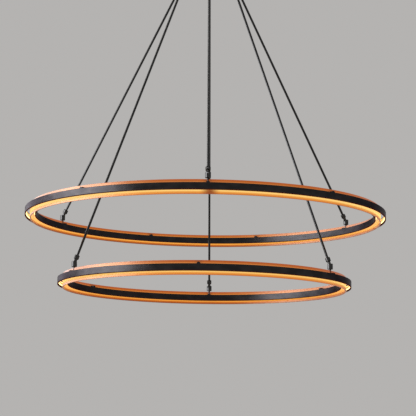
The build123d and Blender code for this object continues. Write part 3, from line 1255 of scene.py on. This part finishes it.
@dataclass
class Cable:
    """A taut cable between a ring's ball seat and the canopy's."""

    shop: Workshop
    tier: str
    hanger: str
    sides: int = 28
    step: float = 4 * MM
    screw_from_cable: float = 7.2 * MM
    route_shares: tuple[float, ...] = (0.0, 1 / 3, 2 / 3, 1.0)

    @property
    def node(self) -> str:
        """The cable's node, which is also its body's name."""
        return f"{self.tier}_{self.hanger}_cable"

    def line(self) -> tuple[Vector, Vector]:
        """The ball at the ring's end, and the way up the cable."""
        ball = swivel_place(self.tier, self.hanger)
        return ball, (joint_place(f"{self.tier}_tier_sway") - ball).normalized()

    def ends(self) -> tuple[Vector, Vector]:
        """Where the cable starts and stops.

        Returns:
            The middle of its upper and of its lower end.
        """
        ball, along = self.line()
        reach = [(point - ball).dot(along) for point in vertices(self.node)]
        return ball + along * max(reach), ball + along * min(reach)

    def diameter(self) -> float:
        """The cable's thickness, from its node."""
        ball, along = self.line()
        return 2 * off_line([point - ball for point in vertices(self.node)], along)

    def ferrule_screws(self) -> Places:
        """Where the ferrules' set screws sit: on the side away from the axis, near the ball.

        Returns:
            A point and the way out of the ferrule, for each of the two.
        """
        ball, along = self.line()
        away = Vector((ball.x, ball.y, 0.0))
        outward = (away - along * away.dot(along)).normalized()
        places = []
        for end in End:
            offsets = [point - ball for point in vertices(f"{self.node}_{end.value}_ferrule")]
            reach = [offset.dot(along) for offset in offsets]
            inwards = self.screw_from_cable
            far = max(reach) - inwards if end is End.RING else min(reach) + inwards
            places.append((ball + along * far + outward * off_line(offsets, along), outward))
        return places

    def route(self) -> Thing:
        """Draws the cable's centreline, a smooth spline from the canopy to the ring.

        Returns:
            The curve's object.
        """
        top, foot = self.ends()
        curve = bpy.data.curves.new("route", "CURVE")
        curve.dimensions = "3D"
        spline = curve.splines.new("NURBS")
        spline.points.add(len(self.route_shares) - 1)
        for point, share in zip(spline.points, self.route_shares):
            point.co = (*top.lerp(foot, share), 1.0)
        spline.order_u = 3
        spline.use_endpoint_u = True
        return piece_of(curve, "route")

    def build(self) -> None:
        diameter = self.diameter()
        inputs = {"Radius": diameter / 2, "Sides": self.sides, "Step": self.step}
        inputs["Finish"] = self.shop.sheath
        piece = self.shop.sleeves.bake(self.route(), f"{self.node}_sleeve", **inputs)
        close_ends(piece.data)
        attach(piece, self.node)
        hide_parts(self.node)
        report(piece)
        for end in End:
            dress(f"{self.node}_{end.value}_ferrule", self.shop.plate)
        SetScrews(self.shop, self.node).build(self.ferrule_screws())


def sleeve_tree() -> GeometryTree:
    """Builds the tree that makes a round sleeve along a route, with a UV map that follows it.

    Returns:
        The tree.
    """
    tree = GeometryTree("sleeve_on_route")
    radius, sides, step, finish = tree.ask(
        Radius="Float", Sides="Int", Step="Float", Finish="Material"
    )
    on_points = {"data_type": "FLOAT", "domain": "POINT"}
    on_corners = {"data_type": "FLOAT2", "domain": "CORNER"}
    route = tree.inputs.outputs["Geometry"]
    even = tree.add("ResampleCurve", {"Curve": route, "Length": step}, mode="LENGTH").outputs[0]
    length = tree.add("SplineParameter", {}).outputs["Length"]
    path = tree.store(even, "along", length, **on_points)
    sizes = {"Resolution": sides, "Radius": radius, "Start Angle": 0.0, "Sweep Angle": math.tau}
    circle = tree.add("CurveArc", sizes, mode="RADIUS").outputs[0]
    share = tree.add("SplineParameter", {}).outputs["Factor"]
    profile = tree.store(circle, "around", share, **on_points)
    tube = tree.add("CurveToMesh", {"Curve": path, "Profile Curve": profile}).outputs[0]
    pair = tree.nodes.new("ShaderNodeCombineXYZ")
    for name, socket in zip(("around", "along"), pair.inputs):
        tree.put(tree.read(name, "FLOAT"), socket)
    mapped = tree.store(tube, "UVMap", pair.outputs[0], **on_corners)
    closed = tree.add("MergeByDistance", {"Geometry": mapped, "Distance": SEAM_REACH})
    smooth = tree.add("SetShadeSmooth", {"Geometry": closed.outputs[0]})
    tree.finish(smooth.outputs[0], finish)
    return tree


def close_ends(mesh: bpy.types.Mesh) -> None:
    """Caps a tube's open ends and turns its faces outwards.

    Args:
        mesh: The tube.
    """
    tube = bmesh.new()
    tube.from_mesh(mesh)
    rims = [edge for edge in tube.edges if edge.is_boundary]
    bmesh.ops.holes_fill(tube, edges=rims, sides=0)
    bmesh.ops.recalc_face_normals(tube, faces=tube.faces)
    tube.to_mesh(mesh)
    tube.free()


@dataclass
class Canopy:
    """The ceiling end: dish, bracket, sockets and what lies inside."""

    shop: Workshop
    zinc_nodes: tuple[str, ...] = (
        "ceiling_bracket", "canopy_studs", "stud_nuts", "socket_studs", "socket_nuts",
        "driver_screws", "terminal_screw", "earth_screw",
    )
    plate_nodes: tuple[str, ...] = ("canopy_sockets", "cap_nuts")
    screw_above_mouth: float = 3.6 * MM
    half_sector: float = math.pi / 6

    def socket_screws(self) -> Places:
        """Where the sockets' set screws sit, one socket for each cable.

        Returns:
            A point and the way out of the socket, for each of the six.
        """
        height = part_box("canopy_sockets")[0].z + self.screw_above_mouth
        points = vertices("canopy_sockets")
        nearest = math.cos(self.half_sector)
        places = []
        for tier in (UPPER, LOWER):
            for hanger in tier.hangers:
                way = swivel_place(tier.name, hanger).xy.normalized()
                own = [point for point in points if point.xy.normalized().dot(way) > nearest]
                places.append(barrel_screw(own, height, Facing.TOWARDS_AXIS))
        return places

    def build(self) -> None:
        """Dresses the canopy's nodes and sets the sockets' screws."""
        _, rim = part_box("canopy")
        # The canopy's top edge, against the ceiling, gets the bronze's painted shade.
        dress("canopy", BronzeFinish("spun_bronze", Grain.SPUN, edge=rim.z).make())
        for node in self.zinc_nodes:
            dress(node, self.shop.zinc)
        for node in self.plate_nodes:
            dress(node, self.shop.plate)
        SetScrews(self.shop, "canopy").build(self.socket_screws())
        dress("led_driver", DRIVER_SHELL.make())
        dress("terminal_block", TERMINAL.make())
        dress("canopy_leads", LEAD_SKIN.make())


def main() -> None:
    """Builds the stage and the chandelier, piece by piece."""
    logging.basicConfig(level=logging.INFO, format="%(name)s %(message)s")
    Studio().build()
    finishes = (SheathFinish(), BLACK_PLATE, SCREW_STEEL, ZINC_PLATE, CAST_BRONZE)
    materials = [finish.make() for finish in finishes]
    shop = Workshop(hoop_tree(), screw_tree(), sleeve_tree(), *materials)
    for tier in (UPPER, LOWER):
        for hanger in tier.hangers:
            Cable(shop, tier.name, hanger).build()
        RingTier(shop, tier).build()
    Canopy(shop).build()


if __name__ == "__main__":
    main()
